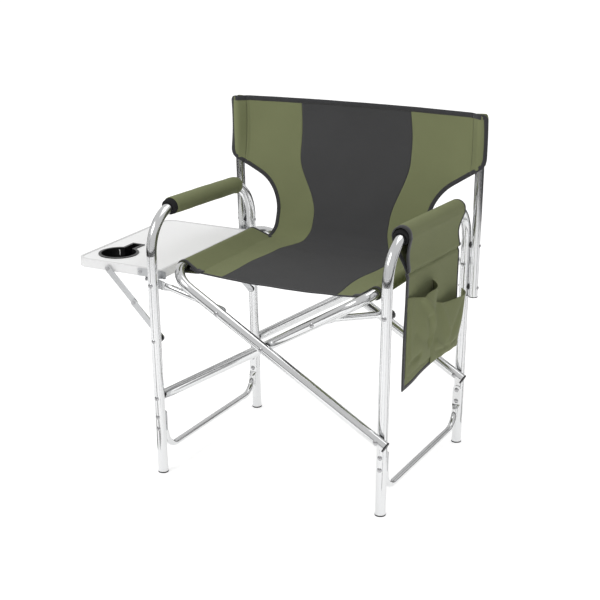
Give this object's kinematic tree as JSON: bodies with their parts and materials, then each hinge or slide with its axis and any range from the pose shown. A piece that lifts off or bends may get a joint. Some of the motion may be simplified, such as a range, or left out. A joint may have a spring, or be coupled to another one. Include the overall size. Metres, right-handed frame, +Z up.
{
  "type": "folding director chair",
  "caption": "Folding camping director chair with aluminium tube frame, fabric seat and back, padded arms, a fold-down side table with cup holder and a pocketed arm organiser.",
  "frame": {"origin": "on the floor, midway between the four feet", "axes": "+Z up, the sitter faces -Y, +X towards the arm with the organiser (the sitter's left), the table is on the -X side"},
  "size_m": [0.8847, 0.5529, 0.8542],
  "materials": {
    "satin_tube": "clear anodised drawn tube, fine satin",
    "bare_aluminium": "brushed sheet",
    "rivet_steel": "plated, satin",
    "black_plastic": "fine moulded grain",
    "black_gloss_plastic": "smooth moulded",
    "black_foam": "closed-cell foam",
    "olive_fabric": "coated plain-weave polyester",
    "charcoal_fabric": "coated plain-weave polyester",
    "table_sheet": "pale powder coat",
    "table_rim": "pale powder coat"
  },
  "bodies": {
    "left_frame": {"left_side_frame": "satin_tube", "left_foot_caps": "black_plastic", "left_lower_brace": "satin_tube", "left_frame_rivets": "rivet_steel", "left_frame_spacers": "black_plastic", "left_back_post": "satin_tube", "left_post_caps": "black_plastic", "left_post_sleeve": "charcoal_fabric", "left_arm_foam": "black_foam", "left_arm_cover": "olive_fabric", "table_hinge_blocks": "bare_aluminium", "table_block_screw": "rivet_steel", "table_hinge_pins": "rivet_steel", "back_fabric": "olive_fabric"},
    "right_seat_frame": {"right_seat_frame": "satin_tube", "right_seat_frame_caps": "black_plastic", "crossing_rivets": "rivet_steel", "crossing_spacers": "black_plastic", "right_seat_tunnel": "olive_fabric", "right_strut_stubs": "rivet_steel"},
    "left_seat_frame": {"left_seat_frame": "satin_tube", "left_seat_frame_caps": "black_plastic", "left_seat_tunnel": "olive_fabric", "left_strut_stubs": "rivet_steel", "seat_fabric": "olive_fabric"},
    "right_frame": {"right_side_frame": "satin_tube", "right_foot_caps": "black_plastic", "right_lower_brace": "satin_tube", "right_frame_rivets": "rivet_steel", "right_frame_spacers": "black_plastic", "right_back_post": "satin_tube", "right_post_caps": "black_plastic", "right_post_sleeve": "charcoal_fabric", "right_arm_foam": "black_foam", "organiser_panel": "olive_fabric", "organiser_front_pocket": "olive_fabric", "organiser_rear_pocket": "olive_fabric"},
    "table": {"table_top": "table_sheet", "table_rim": "table_rim", "table_brackets": "bare_aluminium", "table_rivets": "rivet_steel", "cup_holder": "black_gloss_plastic", "cup_holder_base": "black_gloss_plastic"},
    "left_front_strut": {"left_front_strut": "satin_tube", "left_front_strut_knob": "black_plastic"},
    "left_rear_strut": {"left_rear_strut": "satin_tube", "left_rear_strut_knob": "black_plastic"},
    "right_front_strut": {"right_front_strut": "satin_tube", "right_front_strut_knob": "black_plastic"},
    "right_rear_strut": {"right_rear_strut": "satin_tube", "right_rear_strut_knob": "black_plastic"},
    "table_front_lower_link": {"table_front_lower_link": "bare_aluminium", "table_front_knee_rivet": "rivet_steel"},
    "table_front_upper_link": {"table_front_upper_link": "bare_aluminium"},
    "table_rear_lower_link": {"table_rear_lower_link": "bare_aluminium", "table_rear_knee_rivet": "rivet_steel"},
    "table_rear_upper_link": {"table_rear_upper_link": "bare_aluminium"}
  },
  "joints": [
    {"name": "fold", "type": "hinge", "parent": "left_frame", "child": "right_seat_frame", "pos_m": [-0.2903, 0, 0.195], "axis": [0, -1, 0], "range_deg": [0, 46.49]},
    {"name": "cross_pivot", "type": "hinge", "parent": "right_seat_frame", "child": "left_seat_frame", "pos_m": [0, 0, 0.368], "axis": [0, -1, 0], "range_deg": [-93.18, 0.2], "deforming": ["seat_fabric"]},
    {"name": "right_lower_pivot", "type": "hinge", "parent": "left_seat_frame", "child": "right_frame", "pos_m": [0.2903, 0, 0.195], "axis": [0, -1, 0], "range_deg": [-0.2, 46.69], "deforming": ["back_fabric"]},
    {"name": "left_front_strut_pivot", "type": "hinge", "parent": "left_frame", "child": "left_front_strut", "pos_m": [-0.29557, 0, 0.47995], "axis": [0, -1, 0], "range_deg": [-0.2, 87.81]},
    {"name": "left_rear_strut_pivot", "type": "hinge", "parent": "left_frame", "child": "left_rear_strut", "pos_m": [-0.29557, 0, 0.47995], "axis": [0, -1, 0], "range_deg": [-0.2, 87.81]},
    {"name": "right_front_strut_pivot", "type": "hinge", "parent": "right_frame", "child": "right_front_strut", "pos_m": [0.29557, 0, 0.47995], "axis": [0, -1, 0], "range_deg": [-87.81, 0.2]},
    {"name": "right_rear_strut_pivot", "type": "hinge", "parent": "right_frame", "child": "right_rear_strut", "pos_m": [0.29557, 0, 0.47995], "axis": [0, -1, 0], "range_deg": [-87.81, 0.2]},
    {"name": "table_fold", "type": "hinge", "parent": "left_frame", "child": "table", "pos_m": [-0.29581, 0, 0.493], "axis": [0, -1, 0], "range_deg": [0, 90]},
    {"name": "table_front_lower_link_pivot", "type": "hinge", "parent": "left_frame", "child": "table_front_lower_link", "pos_m": [-0.293, 0, 0.34097], "axis": [0, -1, 0], "range_deg": [-43.26, 0.2]},
    {"name": "table_front_upper_link_pivot", "type": "hinge", "parent": "table", "child": "table_front_upper_link", "pos_m": [-0.4437, 0, 0.492], "axis": [0, -1, 0], "range_deg": [-0.2, 46.23]},
    {"name": "table_rear_lower_link_pivot", "type": "hinge", "parent": "left_frame", "child": "table_rear_lower_link", "pos_m": [-0.293, 0, 0.34097], "axis": [0, -1, 0], "range_deg": [-43.26, 0.2]},
    {"name": "table_rear_upper_link_pivot", "type": "hinge", "parent": "table", "child": "table_rear_upper_link", "pos_m": [-0.4437, 0, 0.492], "axis": [0, -1, 0], "range_deg": [-0.2, 46.23]}
  ],
  "couplings": [
    {"joint": "cross_pivot", "follows": "fold", "ratio": -2},
    {"joint": "right_lower_pivot", "follows": "fold", "ratio": 1},
    {"joint": "left_front_strut_pivot", "follows": "fold", "ratio": 1.8845},
    {"joint": "left_rear_strut_pivot", "follows": "fold", "ratio": 1.8845},
    {"joint": "right_front_strut_pivot", "follows": "fold", "ratio": -1.8845},
    {"joint": "right_rear_strut_pivot", "follows": "fold", "ratio": -1.8845},
    {"joint": "table_front_lower_link_pivot", "follows": "table_fold", "ratio": -0.4784},
    {"joint": "table_front_upper_link_pivot", "follows": "table_fold", "ratio": 0.51141},
    {"joint": "table_rear_lower_link_pivot", "follows": "table_fold", "ratio": -0.4784},
    {"joint": "table_rear_upper_link_pivot", "follows": "table_fold", "ratio": 0.51141}
  ]
}
